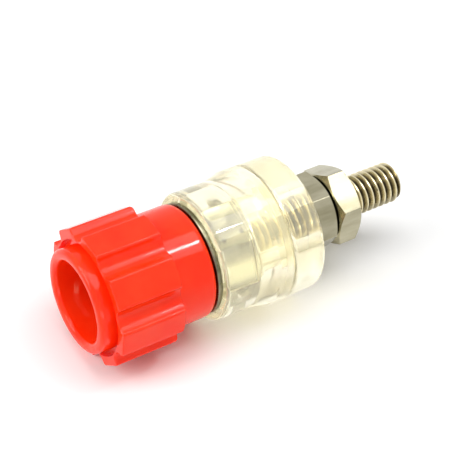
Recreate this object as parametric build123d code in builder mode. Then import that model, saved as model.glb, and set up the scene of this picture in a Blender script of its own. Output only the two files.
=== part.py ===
"""Insulated binding post with a 4 mm plug socket, for mounting in a panel.

The post lies along Y: the clamping knob is at the -Y end and the threaded stud
points to +Y. The origin is on the axis, in the plane where the two clear
insulators meet, which is the face that the panel seats against.
Everything is in millimetres and +Z is up.
"""
import os
from math import cos, radians, tan

from build123d import *

os.makedirs("parts", exist_ok=True)

# Metal post
SOCKET_BORE_R = 2.0          # takes a 4 mm plug
SOCKET_FLOOR = 1.6           # metal left between the socket and the stud
SOCKET_MOUTH_CHAMFER = 0.35
POST_R = 3.0                 # threaded front tube
POST_TUBE_LENGTH = 8.05      # from the collar to the tip
POST_TIP_CHAMFER = 0.3
COLLAR_R = 5.45              # round collar that the wire is clamped against
COLLAR_THICKNESS = 0.45
COLLAR_EDGE_CHAMFER = 0.08
HEX_ACROSS_FLATS = 6.0       # keeps the post from turning in the insulator
HEX_LENGTH = 4.3
HEX_ANGLE = 45.0             # direction of one corner, about the axis
STUD_R = 2.0                 # M4
STUD_PITCH = 0.7
STUD_THREAD_DEPTH = 0.43
STUD_END_CHAMFER = 0.2
WIRE_HOLE_R = 0.95           # cross hole beside the collar
WIRE_HOLE_FROM_COLLAR = 1.0

# Clear insulators
INSULATOR_LENGTH = 7.1
INSULATOR_R = 6.27
RIM_R = 6.7
RIM_LENGTH = 1.6             # straight rim beside the panel face
FLARE_LENGTH = 1.7           # conical run from the body up to the rim
INSULATOR_BEVEL = 0.2
FLANGE_INSET = 0.02          # the flange is that much smaller than the rim
FLANGE_THICKNESS = 3.45
FLANGE_BEVEL = 0.3
SPIGOT_R = 4.0               # passes through the panel hole
SPIGOT_LENGTH = 2.5
INSULATOR_FIT = 0.1          # clear parts on metal and on each other

# Nuts
NUT_ACROSS_FLATS = 7.0
NUT_FACE_R = 3.36            # round face that the corner chamfer leaves
NUT_CHAMFER_ANGLE = 30.0     # slope of that chamfer
THREAD_FIT = 0.05            # radial clearance of every screw thread
PANEL_NUT_THICKNESS = 3.65
PANEL_NUT_ANGLE = 61.5       # direction of one corner, about the axis
TERMINAL_NUT_THICKNESS = 2.55
TERMINAL_NUT_ANGLE = 30.5
NUT_GAP = 0.3                # the terminal nut stands just clear of the panel nut
STUD_BEYOND_NUTS = 6.25

# Knob
KNOB_GAP = 0.1               # screwed down, just clear of the collar
NECK_R = 5.55
NECK_LENGTH = 3.95
NECK_EDGE_R = 0.6
GRIP_LENGTH = 6.5            # fluted part
GRIP_INSET = 0.2             # the flat lands are that much nearer the axis than the rim
LAND_CROWN = 0.25            # turned envelope outside the flats
GRIP_FRONT_BEVEL = 0.35      # turned bevels on the lands' ends
GRIP_REAR_BEVEL = 0.6
LAND_COUNT = 8
LAND_EDGE_R = 0.25
FLUTE_R = 1.2
FLUTE_DEPTH = 0.8
RING_R = 5.0                 # plain ring in front of the flutes
RING_WALL = 1.12
RING_LENGTH = 1.3
RING_EDGE_R = 0.45
RECESS_WIDTH = 0.6           # annular channel around the ring
RECESS_DEPTH = 0.6
MOUTH_DEPTH = 6.4            # plug opening, down to the threaded insert
INSERT_WALL = 1.35           # metal around the insert's bore
INSERT_WAIST_DEPTH = 0.4
INSERT_WAIST_LENGTH = 1.6
INSERT_BORE_CHAMFER = 0.3
INSERT_FIT = 0.05

# Radii that follow from others
flange_r = RIM_R - FLANGE_INSET
grip_apothem = RIM_R - GRIP_INSET
grip_outer_r = grip_apothem + LAND_CROWN
flute_bottom_r = grip_apothem - FLUTE_DEPTH
insert_bore_r = POST_R + THREAD_FIT
insert_r = insert_bore_r + INSERT_WALL
insert_waist_r = insert_r - INSERT_WAIST_DEPTH

# Places along the axis
collar_back_y = -INSULATOR_LENGTH
collar_front_y = collar_back_y - COLLAR_THICKNESS
post_tip_y = collar_front_y - POST_TUBE_LENGTH
hex_back_y = collar_back_y + HEX_LENGTH
socket_bottom_y = hex_back_y - SOCKET_FLOOR
wire_hole_y = collar_front_y - WIRE_HOLE_FROM_COLLAR
panel_nut_back_y = FLANGE_THICKNESS + PANEL_NUT_THICKNESS
terminal_nut_y = panel_nut_back_y + NUT_GAP
terminal_nut_back_y = terminal_nut_y + TERMINAL_NUT_THICKNESS
stud_end_y = terminal_nut_back_y + STUD_BEYOND_NUTS
knob_back_y = collar_front_y - KNOB_GAP
grip_back_y = knob_back_y - NECK_LENGTH
grip_front_y = grip_back_y - GRIP_LENGTH
ring_front_y = grip_front_y - RING_LENGTH
mouth_bottom_y = ring_front_y + MOUTH_DEPTH
insert_mid_y = (mouth_bottom_y + knob_back_y) / 2
land_step = 360.0 / LAND_COUNT


def across(y):
    """Plane square to the axis at y. Its normal points to -Y."""
    return Plane.XZ.offset(-y)


def hexagon_prism(across_flats, angle, y_from, y_to, mode=Mode.ADD):
    """Hexagon bar along the axis, with one corner in the given direction."""
    with BuildSketch(across(y_to)) as section:
        RegularPolygon(across_flats / 2, 6, major_radius=False, rotation=angle)
    extrude(section.sketch, amount=y_to - y_from, mode=mode)


def bore(r, y_from, y_to):
    """Round hole along the axis."""
    with BuildSketch(across(y_to)) as section:
        Circle(r)
    extrude(section.sketch, amount=y_to - y_from, mode=Mode.SUBTRACT)


def stud_crests(y_from, y_to):
    """Outline of the bare thread between two places, as rings one pitch apart."""
    count = round((y_to - y_from) / STUD_PITCH)
    step = (y_to - y_from) / count
    points = [(STUD_R, y_from)]
    for ring in range(count):
        points.append((STUD_R - STUD_THREAD_DEPTH, y_from + (ring + 0.5) * step))
        points.append((STUD_R, y_from + (ring + 1) * step))
    return points


def hex_nut(thickness, angle, y_front):
    """Hexagon nut with both faces turned down to a circle, on the stud."""
    corner_r = NUT_ACROSS_FLATS / 2 / cos(radians(30))
    drop = (corner_r - NUT_FACE_R) * tan(radians(NUT_CHAMFER_ANGLE))
    y_back = y_front + thickness
    with BuildPart() as nut:
        hexagon_prism(NUT_ACROSS_FLATS, angle, y_front, y_back)
        with BuildSketch(Plane.XY):
            with BuildLine():
                Polyline(
                    (0, y_front),
                    (NUT_FACE_R, y_front),
                    (corner_r, y_front + drop),
                    (corner_r, y_back - drop),
                    (NUT_FACE_R, y_back),
                    (0, y_back),
                    close=True,
                )
            make_face()
        revolve(axis=Axis.Y, mode=Mode.INTERSECT)
        bore(STUD_R + THREAD_FIT, y_front, y_back)
    return nut.part


def insert_outline(grow):
    """Half section of the knob's threaded insert, grown by a clearance."""
    waist_half = INSERT_WAIST_LENGTH / 2 - grow
    return [
        (0, mouth_bottom_y - grow),
        (insert_r + grow, mouth_bottom_y - grow),
        (insert_r + grow, insert_mid_y - waist_half),
        (insert_waist_r + grow, insert_mid_y - waist_half),
        (insert_waist_r + grow, insert_mid_y + waist_half),
        (insert_r + grow, insert_mid_y + waist_half),
        (insert_r + grow, knob_back_y),
        (0, knob_back_y),
    ]


# Post: one turned piece with socket tube, collar, hexagon and threaded stud
with BuildPart() as post:
    with BuildSketch(Plane.XY):
        with BuildLine():
            Polyline(
                (0, post_tip_y),
                (POST_R, post_tip_y),
                (POST_R, collar_front_y),
                (COLLAR_R, collar_front_y),
                (COLLAR_R, collar_back_y),
                (STUD_R, collar_back_y),
                *stud_crests(panel_nut_back_y, stud_end_y - STUD_END_CHAMFER),
                (STUD_R - STUD_END_CHAMFER, stud_end_y),
                (0, stud_end_y),
                close=True,
            )
        make_face()
    revolve(axis=Axis.Y)
    hexagon_prism(HEX_ACROSS_FLATS, HEX_ANGLE, collar_back_y, hex_back_y)
    circles = post.edges().filter_by(GeomType.CIRCLE)
    chamfer(circles.group_by(Axis.Y)[0], POST_TIP_CHAMFER)
    rims = post.edges().filter_by(GeomType.CIRCLE).filter_by(lambda e: e.radius > (POST_R + COLLAR_R) / 2)
    chamfer(rims, COLLAR_EDGE_CHAMFER)
    bore(SOCKET_BORE_R, post_tip_y, socket_bottom_y)
    mouth = post.faces().sort_by(Axis.Y)[0].edges().sort_by(SortBy.RADIUS)[0]
    chamfer(mouth, SOCKET_MOUTH_CHAMFER)
    with BuildSketch(Plane.XY):
        with Locations((0, wire_hole_y)):
            Circle(WIRE_HOLE_R)
    extrude(amount=2 * POST_R, both=True, mode=Mode.SUBTRACT)
post.part.label = "post"

# Front insulator: clear body that carries the collar and flares to the panel face
with BuildPart() as front_insulator:
    with BuildSketch(Plane.XY) as body_section:
        with BuildLine():
            Polyline(
                (0, collar_back_y),
                (INSULATOR_R, collar_back_y),
                (INSULATOR_R, -RIM_LENGTH - FLARE_LENGTH),
                (RIM_R, -RIM_LENGTH),
                (RIM_R, 0),
                (0, 0),
                close=True,
            )
        make_face()
        ends = body_section.vertices().filter_by(lambda v: v.X > 1).sort_by(Axis.Y)
        chamfer([ends[0], ends[-1]], INSULATOR_BEVEL)
    revolve(axis=Axis.Y)
    hexagon_prism(
        HEX_ACROSS_FLATS + 2 * INSULATOR_FIT,
        HEX_ANGLE,
        collar_back_y,
        hex_back_y + INSULATOR_FIT,
        mode=Mode.SUBTRACT,
    )
    bore(SPIGOT_R + INSULATOR_FIT, hex_back_y, 0)
front_insulator.part.label = "front_insulator"

# Rear insulator: clear flange behind the panel, with the spigot that fills its hole
with BuildPart() as rear_insulator:
    with BuildSketch(Plane.XY) as flange_section:
        with BuildLine():
            Polyline(
                (0, 0),
                (flange_r, 0),
                (flange_r, FLANGE_THICKNESS),
                (0, FLANGE_THICKNESS),
                close=True,
            )
        make_face()
        chamfer(flange_section.vertices().filter_by(lambda v: v.X > 1), FLANGE_BEVEL)
    revolve(axis=Axis.Y)
    with BuildSketch(across(0)):
        Circle(SPIGOT_R)
    extrude(amount=SPIGOT_LENGTH)
    bore(STUD_R + INSULATOR_FIT, -SPIGOT_LENGTH, FLANGE_THICKNESS)
rear_insulator.part.label = "rear_insulator"

# Nuts on the stud
panel_nut = hex_nut(PANEL_NUT_THICKNESS, PANEL_NUT_ANGLE, FLANGE_THICKNESS)
panel_nut.label = "panel_nut"
terminal_nut = hex_nut(TERMINAL_NUT_THICKNESS, TERMINAL_NUT_ANGLE, terminal_nut_y)
terminal_nut.label = "terminal_nut"

# Threaded insert that is moulded into the knob
with BuildPart() as knob_insert:
    with BuildSketch(Plane.XY):
        with BuildLine():
            Polyline(*insert_outline(0), close=True)
        make_face()
    revolve(axis=Axis.Y)
    bore(insert_bore_r, mouth_bottom_y, knob_back_y)
    circles = knob_insert.edges().filter_by(GeomType.CIRCLE)
    ends = circles.filter_by(lambda e: e.radius < insert_waist_r - INSERT_BORE_CHAMFER)
    chamfer(ends, INSERT_BORE_CHAMFER)
knob_insert.part.label = "knob_insert"

# Knob: one moulding of front ring, fluted grip and smooth neck
with BuildPart() as knob:
    with BuildSketch(across(grip_back_y)) as grip_section:
        RegularPolygon(grip_apothem, LAND_COUNT, major_radius=False, rotation=land_step / 2)
        with PolarLocations(flute_bottom_r + FLUTE_R, LAND_COUNT, start_angle=land_step / 2):
            Circle(FLUTE_R, mode=Mode.SUBTRACT)
        fillet(grip_section.vertices(), LAND_EDGE_R)
    extrude(amount=GRIP_LENGTH)
    with BuildSketch(Plane.XY) as envelope:
        with BuildLine():
            Polyline(
                (0, grip_front_y),
                (grip_outer_r, grip_front_y),
                (grip_outer_r, grip_back_y),
                (0, grip_back_y),
                close=True,
            )
        make_face()
        front_corner, rear_corner = envelope.vertices().filter_by(lambda v: v.X > 1).sort_by(Axis.Y)
        chamfer(front_corner, GRIP_FRONT_BEVEL)
        chamfer(rear_corner, GRIP_REAR_BEVEL)
    revolve(axis=Axis.Y, mode=Mode.INTERSECT)
    with BuildSketch(Plane.XY) as core:
        with BuildLine():
            Polyline(
                (0, ring_front_y),
                (RING_R, ring_front_y),
                (RING_R, grip_front_y + RECESS_DEPTH),
                (NECK_R, grip_front_y + RECESS_DEPTH),
                (NECK_R, knob_back_y),
                (0, knob_back_y),
                close=True,
            )
        make_face()
        fillet(core.vertices().filter_by(lambda v: v.X > 1).sort_by(Axis.Y)[-1], NECK_EDGE_R)
    revolve(axis=Axis.Y)
    with BuildSketch(across(grip_front_y + RECESS_DEPTH)):
        Circle(RING_R + RECESS_WIDTH)
        Circle(RING_R, mode=Mode.SUBTRACT)
    extrude(amount=RECESS_DEPTH, mode=Mode.SUBTRACT)
    bore(RING_R - RING_WALL, ring_front_y, mouth_bottom_y)
    with BuildSketch(Plane.XY):
        with BuildLine():
            Polyline(*insert_outline(INSERT_FIT), close=True)
        make_face()
    revolve(axis=Axis.Y, mode=Mode.SUBTRACT)
    ring_edges = knob.edges().filter_by(GeomType.CIRCLE).group_by(Axis.Y)[0]
    fillet(ring_edges, RING_EDGE_R)
knob.part.label = "knob"

export_step(post.part, "parts/post.step")
export_step(front_insulator.part, "parts/front_insulator.step")
export_step(rear_insulator.part, "parts/rear_insulator.step")
export_step(panel_nut, "parts/panel_nut.step")
export_step(terminal_nut, "parts/terminal_nut.step")
export_step(knob_insert.part, "parts/knob_insert.step")
export_step(knob.part, "parts/knob.step")
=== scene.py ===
"""Looks of an insulated binding post: red fluted knob, clear insulators, plated post and nuts.

The post lies along Y with its knob at the -Y end. Sizes are in metres, written as millimetres times MM.
"""
from math import atan2, cos, hypot, pi, radians, sin, sqrt, tan

import bmesh
import bpy
from mathutils import Matrix, Vector


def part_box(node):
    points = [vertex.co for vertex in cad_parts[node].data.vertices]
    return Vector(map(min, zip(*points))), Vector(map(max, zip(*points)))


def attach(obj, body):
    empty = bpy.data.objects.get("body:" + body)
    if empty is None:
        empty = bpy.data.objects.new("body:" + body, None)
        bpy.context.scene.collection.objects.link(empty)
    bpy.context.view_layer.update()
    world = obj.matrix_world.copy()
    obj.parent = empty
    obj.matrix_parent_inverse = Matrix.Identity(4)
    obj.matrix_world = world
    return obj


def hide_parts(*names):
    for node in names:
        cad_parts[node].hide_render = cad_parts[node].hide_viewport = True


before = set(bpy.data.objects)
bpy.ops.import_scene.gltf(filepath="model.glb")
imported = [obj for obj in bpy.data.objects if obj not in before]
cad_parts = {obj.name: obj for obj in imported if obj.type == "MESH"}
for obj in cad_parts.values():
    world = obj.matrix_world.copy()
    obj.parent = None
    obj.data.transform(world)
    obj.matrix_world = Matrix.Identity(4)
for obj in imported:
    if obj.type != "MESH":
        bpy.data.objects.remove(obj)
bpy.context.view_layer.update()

MM = 0.001
WELD = 0.001 * MM            # points closer than this are one point
SMOOTH_ANGLE = radians(28)   # flatter edges than this are shaded smooth

# Columns of faces round the axis, and steps in one rounding
COLUMNS = 96
ROUND_STEPS = 5
SUPPORT = 0.02 * MM          # row beside each rounding, which keeps the long face next to it evenly shaded

# Post
post_low, post_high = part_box("post")
TUBE_R = 3.0 * MM
TUBE_PITCH = 0.75 * MM
SOCKET_R = 2.0 * MM
SOCKET_MOUTH = 0.35 * MM
SOCKET_FLOOR = 1.6 * MM
COLLAR_THICKNESS = 0.45 * MM
COLLAR_EDGE = 0.08 * MM
HEX_ACROSS_FLATS = 6.0 * MM
HEX_LENGTH = 4.3 * MM
HEX_ANGLE = 45
STUD_R = 2.0 * MM
STUD_PITCH = 0.7 * MM
THREAD_DEPTH_SHARE = 0.6134   # of the pitch
THREAD_FLANK = (0.2, 0.86)    # where a flank starts and ends on the way from root to crest, half a pitch
THREAD_ROWS = 10              # rows of faces in one pitch
THREAD_END_SLOPE = 1.2        # of the chamfer on each end, radius over length
THREAD_FIT = 0.05 * MM        # radial clearance of a screw thread
CREST_UNSHADED = 0.02 * MM        # top of a crest that keeps the plate's own colour, above the painted shade of the root
WIRE_HOLE_R = 0.95 * MM
WIRE_HOLE_FROM_COLLAR = 1.0 * MM

# Insulators
front_low, front_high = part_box("front_insulator")
rear_low, rear_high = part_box("rear_insulator")
BODY_R = 6.27 * MM
RIM_LENGTH = 1.6 * MM
FLARE_LENGTH = 1.7 * MM
FLARE_EDGE_R = 0.5 * MM
BODY_EDGE_R = 0.35 * MM
RIM_EDGE_R = 0.25 * MM
FLANGE_EDGE_R = 0.35 * MM
SPIGOT_R = 4.0 * MM
SPIGOT_EDGE_R = 0.2 * MM
INSULATOR_FIT = 0.1 * MM
JOINT_GAP = 0.02 * MM        # air between a clear face and what it touches

# Nuts
NUT_ACROSS_FLATS = 7.0 * MM
NUT_FACE_R = 3.36 * MM
NUT_CORNER_R = 0.12 * MM
NUT_SIDE_STEPS = 8           # on half a flat
NUT_CORNER_STEPS = 3         # on half a corner
NUT_CHAMFER_ANGLE = radians(30)
NUT_BORE_R = STUD_R + THREAD_FIT
NUT_COUNTERSINK = 0.25 * MM
PANEL_NUT_ANGLE = 61.5
TERMINAL_NUT_ANGLE = 30.5

# Knob
knob_low, knob_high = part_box("knob")
NECK_R = 5.55 * MM
NECK_LENGTH = 3.95 * MM
NECK_EDGE_R = 0.6 * MM
NECK_ROOT_R = 0.05 * MM
GRIP_LENGTH = 6.5 * MM
LAND_CROWN = 0.25 * MM
GRIP_EDGE_R = 0.14 * MM
LAND_COUNT = 8
LAND_STEPS = 12              # on half a land
LAND_EDGE_R = 0.25 * MM
LAND_FRONT_R = 0.3 * MM
LAND_REAR_R = 0.6 * MM
LAND_END_ROWS = (0.4, 0.55, 0.75, 1.0, 1.08)  # rows of faces on a land's rounded end, in its radii
FLUTE_R = 1.2 * MM
FLUTE_DEPTH = 0.8 * MM
FLUTE_STEPS = 10             # on half a flute
RING_R = 5.0 * MM
RING_WALL = 1.12 * MM
RING_EDGE_R = 0.45 * MM
RECESS_WIDTH = 0.6 * MM
RECESS_DEPTH = 0.6 * MM
insert_low, insert_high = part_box("knob_insert")
INSERT_R = 4.4 * MM
INSERT_WAIST_R = 4.0 * MM
INSERT_WAIST_LENGTH = 1.6 * MM
INSERT_BORE_R = TUBE_R + THREAD_FIT
INSERT_BORE_CHAMFER = 0.3 * MM
INSERT_FIT = 0.05 * MM

# Places along the axis, from the frame
collar_back = front_low.y
collar_front = collar_back - COLLAR_THICKNESS
hex_back = collar_back + HEX_LENGTH
grip_back = knob_high.y - NECK_LENGTH
grip_front = grip_back - GRIP_LENGTH
grip_apothem = knob_high.x
flute_bottom_r = grip_apothem - FLUTE_DEPTH
mouth_bottom = insert_low.y

# Camera and light
CAMERA_PLACE = Vector((79.3, -64.3, 98.9)) * MM
CAMERA_RIGHT = Vector((0.53464, 0.8403, 0.08947))
CAMERA_DOWN = Vector((0.62264, -0.3201, -0.71405))
LENS = 119.47
FLOOR_Z = front_low.z
FLOOR_HALF = 2.0
FLOOR_WHITE = 0.85
FLOOR_LIFT = 0.1             # added to that white for what looks at the floor
BACKDROP_FROM, BACKDROP_TO = 70 * MM, 150 * MM  # distances between which the floor turns into the backdrop
WORLD_LIGHT = 0.26
LIGHT_BOUNCES = 32           # light goes many times to and fro in the walls of the clear pieces
LAMP_TARGET = Vector((0, -3, 0)) * MM
LAMPS = (                    # name, direction, distance, width, length, watts
    ("key_lamp", (0.235, 0.395, 0.88), 0.5, 0.035, 0.035, 0.2),
    ("overhead_softbox", (0.05, 0.1, 0.97), 0.5, 0.31, 0.6, 1.9),
    ("front_fill", (-0.25, -0.9, 0.65), 0.6, 0.4, 0.4, 2.5),
    ("low_fill", (0.95, -0.25, 0.14), 0.6, 0.7, 0.16, 0.85))


def arc(centre, r, start, end, steps=ROUND_STEPS):
    """Points of an arc in a plane, from the start angle to the end angle."""
    angles = [start + (end - start) * k / steps for k in range(steps + 1)]
    return [(centre[0] + r * cos(a), centre[1] + r * sin(a)) for a in angles]


def rounded(corners):
    """Section outline (radius, y) with a rounding at each corner that gives one: (radius, y, rounding)."""
    points = []
    count = len(corners)
    for k, corner in enumerate(corners):
        here = Vector(corner[:2])
        r = corner[2] if len(corner) > 2 else 0
        if not r:
            points.append(tuple(here))
            continue
        before = (Vector(corners[k - 1][:2]) - here).normalized()
        after = (Vector(corners[(k + 1) % count][:2]) - here).normalized()
        turn = before.angle(after)
        centre = here + (before + after).normalized() * (r / sin(turn / 2))
        reach = r / tan(turn / 2)
        start, end = here + before * reach - centre, here + after * reach - centre
        first = atan2(start.y, start.x)
        points.append(tuple(here + before * (reach + SUPPORT)))
        points += arc(centre, r, first, first - start.angle_signed(end))
        points.append(tuple(here + after * (reach + SUPPORT)))
    return points


def mesh_object(name, bm):
    """Object at the origin from a bmesh, welded, with its faces outwards."""
    bmesh.ops.remove_doubles(bm, verts=bm.verts, dist=WELD)
    bmesh.ops.dissolve_degenerate(bm, edges=bm.edges, dist=WELD)
    bmesh.ops.recalc_face_normals(bm, faces=bm.faces)
    mesh = bpy.data.meshes.new(name)
    bm.to_mesh(mesh)
    bm.free()
    piece = bpy.data.objects.new(name, mesh)
    bpy.context.scene.collection.objects.link(piece)
    return piece


def skin(bm, rings, around=True, loop=True):
    """Quads between neighbouring rings of points.

    A skin that goes around closes on itself sideways, a loop closes lengthways.
    """
    made = [[bm.verts.new(p) for p in ring] for ring in rings]
    pairs = list(zip(made, made[1:]))
    if loop:
        pairs.append((made[-1], made[0]))
    for one, two in pairs:
        count = len(one)
        for k in range(count if around else count - 1):
            bm.faces.new((one[k], one[(k + 1) % count], two[(k + 1) % count], two[k]))
    return made


def circle(r, y):
    """Ring of points round the axis. r may be a function of the angle."""
    angles = [2 * pi * k / COLUMNS for k in range(COLUMNS)]
    radii = [r(a) if callable(r) else r for a in angles]
    return [(q * cos(a), y, q * sin(a)) for q, a in zip(radii, angles)]


def hexagon(across_flats, corner_angle):
    """Radius of a hexagon at an angle, with one corner at corner_angle degrees."""
    def radius(angle):
        off = (angle - radians(corner_angle)) % (pi / 3) - pi / 6
        return across_flats / 2 / cos(off)
    return radius


def turned(name, outline):
    """Bored piece turned from a closed section outline of (radius, y)."""
    bm = bmesh.new()
    skin(bm, [circle(r, y) for r, y in outline])
    return mesh_object(name, bm)


def socket(tree, name, kind, in_out="INPUT"):
    return tree.interface.new_socket(name=name, in_out=in_out, socket_type="NodeSocket" + kind)


def node(tree, kind, links=(), **settings):
    """Adds a node, sets its properties and links or sets its inputs."""
    made = tree.nodes.new(kind)
    for key, value in settings.items():
        setattr(made, key, value)
    for key, value in dict(links).items():
        target = made.inputs[key]
        if isinstance(value, bpy.types.NodeSocket):
            tree.links.new(value, target)
        else:
            target.default_value = value
    return made


def calculator(tree):
    """Short form of a Math node: calc("ADD", a, b) gives its output."""
    def calc(operation, *values):
        return node(tree, "ShaderNodeMath", dict(enumerate(values)), operation=operation).outputs[0]
    return calc


def dressed(piece, tree, values, name):
    """Plain mesh object that a Geometry Nodes tree makes of a piece, with the tree's inputs by name."""
    modifier = piece.modifiers.new(tree.name, "NODES")
    modifier.node_group = tree
    for item in tree.interface.items_tree:
        if item.in_out == "INPUT" and item.name in values:
            modifier[item.identifier] = values[item.name]
    piece.update_tag()
    return baked(piece, name)


def baked(piece, name):
    """Plain mesh object of a piece as its modifiers leave it, in the place of the piece."""
    bpy.context.view_layer.update()
    graph = bpy.context.evaluated_depsgraph_get()
    mesh = bpy.data.meshes.new_from_object(piece.evaluated_get(graph))
    made = bpy.data.objects.new(name, mesh)
    bpy.context.scene.collection.objects.link(made)
    bpy.data.objects.remove(piece)
    made.name = name
    mesh.name = name
    return made


def repeat_tree():
    """Copies a sector round the Y axis and welds the copies into one skin."""
    tree = bpy.data.node_groups.new("sectors_round_axis", "GeometryNodeTree")
    socket(tree, "Sector", "Geometry")
    socket(tree, "Count", "Int")
    socket(tree, "First angle", "Float")
    socket(tree, "Weld", "Float")
    socket(tree, "Finish", "Material")
    socket(tree, "Piece", "Geometry", "OUTPUT")
    given = node(tree, "NodeGroupInput").outputs
    calc = calculator(tree)
    index = node(tree, "GeometryNodeInputIndex").outputs[0]
    step = calc("DIVIDE", 2 * pi, given["Count"])
    angle = calc("ADD", calc("MULTIPLY", index, step), given["First angle"])
    turn = node(tree, "FunctionNodeAxisAngleToRotation", {"Axis": (0, -1, 0), "Angle": angle})
    points = node(tree, "GeometryNodePoints", {"Count": given["Count"]})
    copies = node(tree, "GeometryNodeInstanceOnPoints", {
        "Points": points.outputs[0], "Instance": given["Sector"], "Rotation": turn.outputs[0]})
    real = node(tree, "GeometryNodeRealizeInstances", {"Geometry": copies.outputs[0]})
    weld = node(tree, "GeometryNodeMergeByDistance", {"Geometry": real.outputs[0], "Distance": given["Weld"]})
    finish = node(tree, "GeometryNodeSetMaterial", {"Geometry": weld.outputs[0], "Material": given["Finish"]})
    node(tree, "NodeGroupOutput", {"Piece": finish.outputs[0]})
    return tree


def thread_tree():
    """Skin of a right-hand screw thread along Y. Both ends close down to a circle of the root radius."""
    tree = bpy.data.node_groups.new("screw_thread", "GeometryNodeTree")
    socket(tree, "Blank", "Geometry")
    for name in ("Crest radius", "Root radius", "Pitch", "Start", "End", "Weld"):
        socket(tree, name, "Float")
    socket(tree, "Columns", "Int")
    socket(tree, "Finish", "Material")
    socket(tree, "Thread", "Geometry", "OUTPUT")
    given = node(tree, "NodeGroupInput").outputs
    calc = calculator(tree)
    length = calc("SUBTRACT", given["End"], given["Start"])
    turns = calc("ADD", calc("CEIL", calc("DIVIDE", length, given["Pitch"])), 2)
    rows = calc("MULTIPLY", turns, THREAD_ROWS)
    grid = node(tree, "GeometryNodeMeshGrid", {
        "Size X": 1, "Size Y": 1,
        "Vertices X": calc("ADD", given["Columns"], 1), "Vertices Y": calc("ADD", rows, 1)})
    place = node(tree, "GeometryNodeInputPosition").outputs[0]
    xyz = node(tree, "ShaderNodeSeparateXYZ", {0: place}).outputs
    around = calc("ADD", xyz[0], 0.5)
    along = calc("MULTIPLY", calc("ADD", xyz[1], 0.5), turns)
    # each column climbs one pitch in a turn; the rows past either end fold onto it
    reach = calc("MULTIPLY", calc("SUBTRACT", along, around), given["Pitch"])
    wanted = calc("ADD", given["Start"], reach)
    y = calc("MINIMUM", calc("MAXIMUM", wanted, given["Start"]), given["End"])
    # the small number keeps a row on a whole turn off the jump of FRACT
    wave = calc("ABSOLUTE", calc("SUBTRACT", calc("MULTIPLY", calc("FRACT", calc("ADD", along, 1e-4)), 2), 1))
    height = node(tree, "ShaderNodeMapRange", {
        "Value": wave, "From Min": THREAD_FLANK[0], "From Max": THREAD_FLANK[1], "To Min": 0, "To Max": 1},
        interpolation_type="SMOOTHSTEP")
    depth = calc("SUBTRACT", given["Crest radius"], given["Root radius"])
    lift = calc("MULTIPLY", height.outputs[0], depth)
    # each end is chamfered, at an angle that stays a crisp edge on the end face
    for gone in (calc("SUBTRACT", y, given["Start"]), calc("SUBTRACT", given["End"], y)):
        lift = calc("MINIMUM", lift, calc("MULTIPLY", gone, THREAD_END_SLOPE))
    r = calc("ADD", given["Root radius"], lift)
    angle = calc("MULTIPLY", around, 2 * pi)
    moved = node(tree, "ShaderNodeCombineXYZ", {
        0: calc("MULTIPLY", r, calc("COSINE", angle)), 1: y, 2: calc("MULTIPLY", r, calc("SINE", angle))})
    shaped = node(tree, "GeometryNodeSetPosition", {
        "Geometry": grid.outputs["Mesh"], "Position": moved.outputs[0]})
    real = node(tree, "GeometryNodeRealizeInstances", {"Geometry": shaped.outputs[0]})
    weld = node(tree, "GeometryNodeMergeByDistance", {"Geometry": real.outputs[0], "Distance": given["Weld"]})
    finish = node(tree, "GeometryNodeSetMaterial", {"Geometry": weld.outputs[0], "Material": given["Finish"]})
    node(tree, "NodeGroupOutput", {"Thread": finish.outputs[0]})
    return tree


def material(name, color, rough, **principled):
    """Principled material. Returns the material, its tree and its shader."""
    made = bpy.data.materials.new(name)
    made.use_nodes = True
    tree = made.node_tree
    shader = tree.nodes["Principled BSDF"]
    shader.inputs["Base Color"].default_value = (*color, 1)
    shader.inputs["Roughness"].default_value = rough
    for key, value in principled.items():
        shader.inputs[key.replace("_", " ")].default_value = value
    return made, tree, shader


def grain(tree, scale, detail=2.0, stretch=(1, 1, 1)):
    """Noise over the piece, scale per metre."""
    place = node(tree, "ShaderNodeTexCoord").outputs["Object"]
    mapped = node(tree, "ShaderNodeMapping", {"Vector": place, "Scale": stretch}).outputs[0]
    noise = node(tree, "ShaderNodeTexNoise", {"Vector": mapped, "Scale": scale, "Detail": detail})
    return noise.outputs["Fac"]


def spread(tree, value, low, high):
    """Noise value between two limits."""
    return node(tree, "ShaderNodeMapRange", {
        "Value": value, "From Min": 0.3, "From Max": 0.7, "To Min": low, "To Max": high}).outputs[0]


def blend_colors(tree, value, low, high):
    mix = node(tree, "ShaderNodeMix", {"Factor": value}, data_type="RGBA")
    mix.inputs[6].default_value = (*low, 1)
    mix.inputs[7].default_value = (*high, 1)
    return mix.outputs[2]


def bumped(tree, shader, height, strength, depth):
    bump = node(tree, "ShaderNodeBump", {"Height": height, "Strength": strength, "Distance": depth})
    tree.links.new(bump.outputs[0], shader.inputs["Normal"])


def red_plastic():
    """Glossy moulded red with a faint orange peel. A little light passes inside."""
    made, tree, shader = material("red_moulded_plastic", (1.0, 0.036, 0.004), 0.08)
    shader.inputs["Specular IOR Level"].default_value = 0.22
    shader.inputs["Subsurface Weight"].default_value = 0.25
    shader.inputs["Subsurface Radius"].default_value = (1.0, 0.12, 0.04)
    shader.inputs["Subsurface Scale"].default_value = 0.8 * MM
    clouds = spread(tree, grain(tree, 350), 0, 1)
    tint = blend_colors(tree, clouds, (0.99, 0.026, 0.002), (1.0, 0.040, 0.006))
    tree.links.new(tint, shader.inputs["Base Color"])
    tree.links.new(spread(tree, grain(tree, 900, 4), 0.05, 0.1), shader.inputs["Roughness"])
    bumped(tree, shader, grain(tree, 450, 1), 0.1, 0.02 * MM)
    return made


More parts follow.
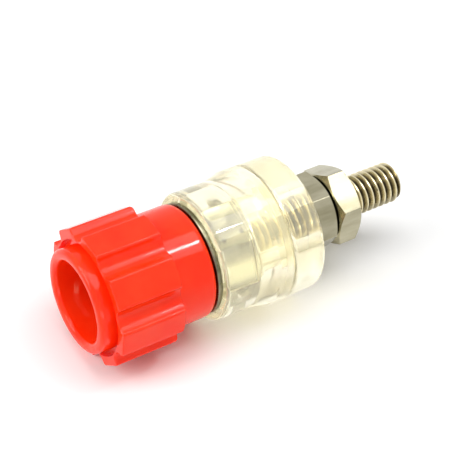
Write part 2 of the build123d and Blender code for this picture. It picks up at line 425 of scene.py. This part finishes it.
def clear_plastic():
    """Clear moulded plastic, slightly yellow, with a faint haze in the wall."""
    made, tree, shader = material("clear_moulded_plastic", (1.0, 0.968, 0.78), 0.05, IOR=1.5)
    shader.inputs["Transmission Weight"].default_value = 0.88
    tree.links.new(spread(tree, grain(tree, 600), 0.02, 0.09), shader.inputs["Roughness"])
    bumped(tree, shader, grain(tree, 420, 2, (1, 0.5, 1)), 0.2, 0.03 * MM)
    # lamps shine through the wall, a little tinted, so that the metal inside is lit
    through = node(tree, "ShaderNodeBsdfTransparent", {"Color": (0.88, 0.85, 0.76, 1)})
    path = node(tree, "ShaderNodeLightPath")
    mixed = node(tree, "ShaderNodeMixShader", {
        0: path.outputs["Is Shadow Ray"], 1: shader.outputs[0], 2: through.outputs[0]})
    tree.links.new(mixed.outputs[0], tree.nodes["Material Output"].inputs["Surface"])
    return made


def pitted(tree, plate):
    """Colour of plating with a few small dark pits."""
    place = node(tree, "ShaderNodeTexCoord").outputs["Object"]
    cells = node(tree, "ShaderNodeTexVoronoi", {"Vector": place, "Scale": 480})
    pit = node(tree, "ShaderNodeMapRange", {
        "Value": cells.outputs["Distance"], "From Min": 0.08, "From Max": 0.13, "To Min": 1, "To Max": 0})
    mixed = node(tree, "ShaderNodeMix", {"Factor": pit.outputs[0]}, data_type="RGBA")
    tree.links.new(plate, mixed.inputs[6])
    mixed.inputs[7].default_value = (0.05, 0.04, 0.025, 1)
    return mixed.outputs[2]


def nickel(name, low, high, rough, stretch=(1, 0.25, 1)):
    """Nickel plate with cloudy patches, fine scratches and a few pits."""
    made, tree, shader = material(name, high, rough[0], Metallic=1)
    plate = blend_colors(tree, spread(tree, grain(tree, 500, 3, stretch), 0, 1), low, high)
    tree.links.new(pitted(tree, plate), shader.inputs["Base Color"])
    tree.links.new(spread(tree, grain(tree, 1200, 4), *rough), shader.inputs["Roughness"])
    bumped(tree, shader, grain(tree, 900, 4, stretch), 0.3, 0.02 * MM)
    return made


def threaded_nickel():
    """Warm plate with painted shade in the roots of the threads, dark there and the plate's own colour on
    their crests.
    """
    made, tree, shader = material("threaded_nickel", (0.76, 0.68, 0.45), 0.2, Metallic=1)
    place = node(tree, "ShaderNodeTexCoord").outputs["Object"]
    xyz = node(tree, "ShaderNodeSeparateXYZ", {0: place}).outputs
    calc = calculator(tree)
    across = calc("SQRT", calc("ADD", calc("MULTIPLY", xyz[0], xyz[0]), calc("MULTIPLY", xyz[2], xyz[2])))
    root_r = STUD_R - THREAD_DEPTH_SHARE * STUD_PITCH
    height = node(tree, "ShaderNodeMapRange", {
        "Value": across, "From Min": root_r, "From Max": STUD_R - CREST_UNSHADED}).outputs[0]
    root_shade_to_plate = calc("ADD", height, calc("MULTIPLY", calc("SUBTRACT", grain(tree, 900, 3), 0.5), 0.6))
    # painted shade: the thread roots are painted near black, rising to the plate's colour towards the crests
    plate = blend_colors(tree, root_shade_to_plate, (0.035, 0.022, 0.008), (0.76, 0.68, 0.45))
    tree.links.new(pitted(tree, plate), shader.inputs["Base Color"])
    tree.links.new(spread(tree, grain(tree, 1200, 4), 0.14, 0.3), shader.inputs["Roughness"])
    bumped(tree, shader, grain(tree, 1100, 4), 0.35, 0.02 * MM)
    return made


def metal_thread(name, tree, finish, crest, pitch, start, end):
    """Mesh of one screw thread's skin, for a bmesh to take in."""
    piece = bpy.data.objects.new("thread_blank", bpy.data.meshes.new("thread_blank"))
    bpy.context.scene.collection.objects.link(piece)
    made = dressed(piece, tree, {
        "Crest radius": crest, "Root radius": crest - THREAD_DEPTH_SHARE * pitch, "Pitch": pitch,
        "Start": start, "End": end, "Weld": WELD, "Columns": COLUMNS, "Finish": finish}, name)
    mesh = made.data
    bpy.data.objects.remove(made)
    return mesh


def make_post(tree, finish):
    """Post: socket tube with its thread, collar, hexagon and threaded stud, in one skin."""
    tip, stud_end = post_low.y, post_high.y
    collar_r = post_high.x
    tube_root = TUBE_R - THREAD_DEPTH_SHARE * TUBE_PITCH
    stud_root = STUD_R - THREAD_DEPTH_SHARE * STUD_PITCH
    hex_r = hexagon(HEX_ACROSS_FLATS, HEX_ANGLE)
    bm = bmesh.new()
    bm.from_mesh(metal_thread("tube_thread", tree, finish, TUBE_R, TUBE_PITCH, tip, collar_front))
    bm.from_mesh(metal_thread("stud_thread", tree, finish, STUD_R, STUD_PITCH, hex_back, stud_end))
    bore = [
        (SOCKET_R, hex_back - SOCKET_FLOOR), (SOCKET_R, tip + SOCKET_MOUTH),
        (SOCKET_R + SOCKET_MOUTH, tip), (tube_root, tip)]
    rings = skin(bm, [circle(r, y) for r, y in bore], loop=False)
    bm.faces.new(rings[0])
    collar = [
        (tube_root, collar_front), (collar_r - COLLAR_EDGE, collar_front),
        (collar_r, collar_front + COLLAR_EDGE), (collar_r, collar_back - COLLAR_EDGE),
        (collar_r - COLLAR_EDGE, collar_back), (hex_r, collar_back), (hex_r, hex_back), (stud_root, hex_back)]
    skin(bm, [circle(r, y) for r, y in collar], loop=False)
    bm.faces.new([bm.verts.new(p) for p in circle(stud_root, stud_end)])
    piece = mesh_object("post_blank", bm)

    bpy.ops.mesh.primitive_cylinder_add(
        vertices=COLUMNS // 2, radius=WIRE_HOLE_R, depth=4 * TUBE_R,
        location=(0, collar_front - WIRE_HOLE_FROM_COLLAR, 0))
    drill = bpy.context.object
    cut = piece.modifiers.new("wire_hole", "BOOLEAN")
    cut.object, cut.solver = drill, "EXACT"
    made = baked(piece, "threaded_post")
    bpy.data.objects.remove(drill)
    # finishes by number: 0 threads and socket, 1 collar, darkened with painted shade, 2 hexagon, 3 the stud's
    # end face
    for face in made.data.polygons:
        middle = face.center
        on_stud = hypot(middle.x, middle.z) < TUBE_R - WELD and middle.y < stud_end - WELD
        on_thread = middle.y < collar_front - WELD or on_stud
        on_collar, on_end = middle.y < collar_back + WELD, middle.y > stud_end - WELD
        face.material_index = 0 if on_thread else 1 if on_collar else 3 if on_end else 2
    return made


def make_front_insulator():
    """Clear front body with a hexagon pocket and the spigot's bore."""
    rim_r, front, back = front_high.x, collar_back + JOINT_GAP, front_high.y
    pocket = hexagon(HEX_ACROSS_FLATS + 2 * INSULATOR_FIT, HEX_ANGLE)
    spigot_bore = SPIGOT_R + INSULATOR_FIT
    outside = rounded([
        (spigot_bore, front), (BODY_R, front, BODY_EDGE_R),
        (BODY_R, back - RIM_LENGTH - FLARE_LENGTH, FLARE_LENGTH / 2),
        (rim_r, back - RIM_LENGTH, FLARE_EDGE_R), (rim_r, back, RIM_EDGE_R), (spigot_bore, back)])[1:]
    bm = bmesh.new()
    skin(bm, [circle(pocket, front)] + [circle(r, y) for r, y in outside]
         + [circle(spigot_bore, hex_back), circle(pocket, hex_back)])
    return mesh_object("clear_front_insulator", bm)


def make_rear_insulator():
    """Clear flange with its spigot."""
    bore, back, flange_r = STUD_R + INSULATOR_FIT, rear_high.y - JOINT_GAP, rear_high.x
    return turned("clear_rear_insulator", rounded([
        (bore, rear_low.y), (SPIGOT_R, rear_low.y, SPIGOT_EDGE_R), (SPIGOT_R, JOINT_GAP),
        (flange_r, JOINT_GAP, FLANGE_EDGE_R), (flange_r, back, FLANGE_EDGE_R), (bore, back)]))


def make_insert():
    """Threaded insert of the knob, with its waist."""
    front, back = insert_low.y, insert_high.y
    middle, half = (front + back) / 2, INSERT_WAIST_LENGTH / 2
    lip = INSERT_BORE_R + INSERT_BORE_CHAMFER
    return turned("threaded_insert", [
        (INSERT_BORE_R, front + INSERT_BORE_CHAMFER), (lip, front), (INSERT_R, front),
        (INSERT_R, middle - half), (INSERT_WAIST_R, middle - half),
        (INSERT_WAIST_R, middle + half), (INSERT_R, middle + half),
        (INSERT_R, back), (lip, back), (INSERT_BORE_R, back - INSERT_BORE_CHAMFER)])


def nut_sector():
    """Outline of one sixth of a nut as (angle, radius), corner to corner, with rounded corners."""
    flat, corner = NUT_ACROSS_FLATS / 2, radians(30)
    centre_r = (flat - NUT_CORNER_R) / cos(corner)
    centre = Vector((centre_r * cos(corner), centre_r * sin(corner)))
    side = [(flat, centre.y * k / NUT_SIDE_STEPS) for k in range(NUT_SIDE_STEPS)]
    half = side + arc(centre, NUT_CORNER_R, 0, corner, NUT_CORNER_STEPS)
    points = [(x, -y) for x, y in reversed(half[1:])] + half
    return [(atan2(y, x), hypot(x, y)) for x, y in points]


def make_nut(name, node_name, corner_angle, tree, finish):
    """Hexagon nut, one sixth repeated round the axis."""
    low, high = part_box(node_name)
    columns = nut_sector()
    lip = NUT_BORE_R + NUT_COUNTERSINK

    def ring(r, y):
        return [(r * cos(a), y, r * sin(a)) for a, _ in columns]

    def corners(y, way):
        """The nut's outline, cut back from a face by the chamfer on its corners."""
        cut = way * tan(NUT_CHAMFER_ANGLE)
        return [(q * cos(a), y + (q - NUT_FACE_R) * cut, q * sin(a)) for a, q in columns]

    bm = bmesh.new()
    skin(bm, [
        ring(NUT_BORE_R, low.y + NUT_COUNTERSINK), ring(lip, low.y), ring(NUT_FACE_R, low.y),
        corners(low.y, 1), corners(high.y, -1), ring(NUT_FACE_R, high.y), ring(lip, high.y),
        ring(NUT_BORE_R, high.y - NUT_COUNTERSINK)], around=False)
    sector = mesh_object(name + "_sector", bm)
    return dressed(sector, tree, {
        "Count": 6, "First angle": radians(corner_angle + 30), "Weld": WELD, "Finish": finish}, name)


def knob_sector():
    """Outline of one land with half a flute on each side, as (x, z) points."""
    half_step = pi / LAND_COUNT
    middle = Vector((cos(half_step), sin(half_step))) * (flute_bottom_r + FLUTE_R)
    edge_x = grip_apothem - LAND_EDGE_R
    edge = Vector((edge_x, middle.y - sqrt((FLUTE_R + LAND_EDGE_R) ** 2 - (middle.x - edge_x) ** 2)))
    to_edge = edge - middle
    join = atan2(-to_edge.y, -to_edge.x)
    land = [(grip_apothem, edge.y * k / LAND_STEPS) for k in range(LAND_STEPS)]
    rounding = arc(edge, LAND_EDGE_R, 0, join)
    flute = arc(middle, FLUTE_R, atan2(to_edge.y, to_edge.x), half_step - pi, FLUTE_STEPS)[1:]
    half = land + rounding + flute
    return [(x, -z) for x, z in reversed(half[1:])] + half


def make_knob(tree, finish):
    """Moulded knob: ring, fluted grip and neck, one sector repeated round the axis."""
    outline = [(atan2(z, x), hypot(x, z)) for x, z in knob_sector()]
    mouth_r = RING_R - RING_WALL
    front, back = knob_low.y, knob_high.y
    recess_r, recess_y = RING_R + RECESS_WIDTH, grip_front + RECESS_DEPTH
    insert_middle = (insert_low.y + insert_high.y) / 2
    waist = INSERT_WAIST_LENGTH / 2 - INSERT_FIT
    wide, narrow = INSERT_R + INSERT_FIT, INSERT_WAIST_R + INSERT_FIT

    def plain(points):
        """Round rings with the outline's columns."""
        return [[(r * cos(a), y, r * sin(a)) for a, _ in outline] for r, y in points]

    def grip_ring(y, inset):
        """The outline, no further out than the turned rounding of the lands' ends."""
        top = grip_apothem + LAND_CROWN
        for end, r in ((y - grip_front, LAND_FRONT_R), (grip_back - y, LAND_REAR_R)):
            if end < r:
                top -= r - sqrt(r ** 2 - (r - end) ** 2)
        return [(min(q, top) - inset, a) for a, q in outline]

    def grip_rings():
        """Rings of the fluted grip, from its front edge over the straight run to its rear edge."""
        quarter = [k / ROUND_STEPS * pi / 2 for k in range(ROUND_STEPS + 1)]
        ends = [(GRIP_EDGE_R * (1 - sin(t)), GRIP_EDGE_R * (1 - cos(t))) for t in quarter]
        front_rows = ends + [(0, LAND_FRONT_R * k) for k in LAND_END_ROWS[1:]]
        rear_rows = ends + [(0, LAND_REAR_R * k) for k in LAND_END_ROWS]
        rings = [(grip_front + d, inset) for inset, d in front_rows]
        rings += [(grip_back - d, inset) for inset, d in reversed(rear_rows)]
        return [[(r * cos(a), y, r * sin(a)) for r, a in grip_ring(y, inset)] for y, inset in rings]

    ring_part = rounded([
        (mouth_r, mouth_bottom - INSERT_FIT), (mouth_r, front, RING_EDGE_R), (RING_R, front, RING_EDGE_R),
        (RING_R, recess_y), (recess_r, recess_y), (recess_r, grip_front)])
    neck_part = rounded([
        (flute_bottom_r, grip_back), (NECK_R, grip_back, NECK_ROOT_R),
        (NECK_R, back, NECK_EDGE_R), (wide, back)])[1:]
    pocket = [
        (wide, insert_middle + waist), (narrow, insert_middle + waist), (narrow, insert_middle - waist),
        (wide, insert_middle - waist), (wide, mouth_bottom - INSERT_FIT)]
    bm = bmesh.new()
    skin(bm, plain(ring_part) + grip_rings() + plain(neck_part) + plain(pocket), around=False)
    sector = mesh_object("knob_sector", bm)
    return dressed(sector, tree, {
        "Count": LAND_COUNT, "First angle": 0, "Weld": WELD, "Finish": finish}, "fluted_knob")


def finished(piece, body, slot, *nodes, finish=()):
    """Smooth shading, materials and body of one piece that stands for CAD nodes. Its slot is not used."""
    piece.data.shade_smooth()
    piece.data.set_sharp_from_angle(angle=SMOOTH_ANGLE)
    if finish:
        # clearing the slots would set every face back to the first one
        regions = [face.material_index for face in piece.data.polygons]
        piece.data.materials.clear()
        for coat in finish:
            piece.data.materials.append(coat)
        piece.data.polygons.foreach_set("material_index", regions)
    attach(piece, body)
    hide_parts(*nodes)
    return piece


def seen_directly(tree):
    """1 for what looks at a surface itself, in a mirror or through glass, and 0 for its light."""
    path = node(tree, "ShaderNodeLightPath").outputs
    calc = calculator(tree)
    seen = calc("ADD", path["Is Camera Ray"], path["Is Glossy Ray"])
    return calc("MINIMUM", calc("ADD", seen, path["Is Transmission Ray"]), 1)


def make_floor():
    """White floor, paler still for what looks at it, that turns into a white backdrop far from the post."""
    made, tree, shader = material("white_floor", (FLOOR_WHITE,) * 3, 0.9)
    shader.inputs["Specular IOR Level"].default_value = 0
    calc = calculator(tree)
    seen = seen_directly(tree)
    pale = node(tree, "ShaderNodeBsdfDiffuse", {"Color": calc("MULTIPLY", seen, FLOOR_LIFT)})
    lit = node(tree, "ShaderNodeAddShader", {0: shader.outputs[0], 1: pale.outputs[0]})
    place = node(tree, "ShaderNodeTexCoord").outputs["Object"]
    away = node(tree, "ShaderNodeVectorMath", {0: place}, operation="LENGTH").outputs["Value"]
    far = node(tree, "ShaderNodeMapRange", {
        "Value": away, "From Min": BACKDROP_FROM, "From Max": BACKDROP_TO}).outputs[0]
    backdrop = node(tree, "ShaderNodeEmission", {"Strength": 1.0})
    mixed = node(tree, "ShaderNodeMixShader", {
        0: calc("MULTIPLY", seen, far), 1: lit.outputs[0], 2: backdrop.outputs[0]})
    tree.links.new(mixed.outputs[0], tree.nodes["Material Output"].inputs["Surface"])
    bm = bmesh.new()
    corners = ((-1, -1), (1, -1), (1, 1), (-1, 1))
    bm.faces.new([bm.verts.new((x * FLOOR_HALF, y * FLOOR_HALF, FLOOR_Z)) for x, y in corners])
    floor = mesh_object("floor", bm)
    floor.data.materials.append(made)


def make_light(name, direction, distance, width, length, watts):
    """Soft rectangular lamp that looks at the post from a direction. Overhead, its length runs along Y."""
    lamp = bpy.data.lights.new(name, "AREA")
    lamp.shape = "RECTANGLE"
    lamp.size, lamp.size_y = width, length
    lamp.energy = watts
    stand = bpy.data.objects.new(name, lamp)
    away = Vector(direction).normalized()
    stand.location = LAMP_TARGET + away * distance
    stand.rotation_mode = "QUATERNION"
    stand.rotation_quaternion = away.to_track_quat("Z", "Y")
    bpy.context.scene.collection.objects.link(stand)


def make_world():
    """Even white surroundings, at full white for what looks at them."""
    world = bpy.data.worlds.new("studio")
    world.use_nodes = True
    bpy.context.scene.world = world
    tree = world.node_tree
    back = tree.nodes["Background"]
    back.inputs["Color"].default_value = (1, 1, 1, 1)
    level = node(tree, "ShaderNodeMapRange", {
        "Value": seen_directly(tree), "To Min": WORLD_LIGHT, "To Max": 1.0})
    tree.links.new(level.outputs[0], back.inputs["Strength"])


def make_camera():
    data = bpy.data.cameras.new("camera")
    data.lens = LENS
    data.clip_start = 5 * MM
    data.clip_end = 10
    camera = bpy.data.objects.new("camera", data)
    back = CAMERA_RIGHT.cross(-CAMERA_DOWN)
    axes = Matrix((CAMERA_RIGHT, -CAMERA_DOWN, back)).transposed()
    camera.rotation_mode = "QUATERNION"
    camera.rotation_quaternion = axes.to_quaternion()
    camera.location = CAMERA_PLACE
    bpy.context.scene.collection.objects.link(camera)
    bpy.context.scene.camera = camera


red, clear = red_plastic(), clear_plastic()
plated = nickel("bright_nickel", (0.28, 0.255, 0.16), (0.53, 0.50, 0.37), (0.14, 0.26))
threaded = threaded_nickel()
# painted shade: the collar, set between the knob and the clear body, gets a dark plate
collar_painted_shade = nickel("collar_nickel_painted_shade", (0.05, 0.05, 0.02), (0.34, 0.32, 0.22), (0.22, 0.4))
drawn = nickel("drawn_nickel", (0.02, 0.018, 0.01), (0.95, 0.93, 0.78), (0.06, 0.14), (1, 0.1, 1))
sectors, thread = repeat_tree(), thread_tree()

finished(make_post(thread, threaded), "post_assembly", "nickel", "post",
         finish=[threaded, collar_painted_shade, drawn, plated])
finished(make_front_insulator(), "post_assembly", "clear_plastic", "front_insulator", finish=[clear])
finished(make_rear_insulator(), "post_assembly", "clear_plastic", "rear_insulator", finish=[clear])
finished(make_nut("plated_panel_nut", "panel_nut", PANEL_NUT_ANGLE, sectors, plated),
         "post_assembly", "nickel", "panel_nut")
finished(make_nut("plated_terminal_nut", "terminal_nut", TERMINAL_NUT_ANGLE, sectors, plated),
         "terminal_nut", "nickel", "terminal_nut")
finished(make_insert(), "knob_thread", "nickel", "knob_insert", finish=[plated])
finished(make_knob(sectors, red), "knob", "red_plastic", "knob")

make_floor()
for lamp in LAMPS:
    make_light(*lamp)
make_world()
make_camera()
bpy.context.scene.view_settings.view_transform = "Standard"
for kind in ("max_bounces", "transmission_bounces", "glossy_bounces"):
    setattr(bpy.context.scene.cycles, kind, LIGHT_BOUNCES)
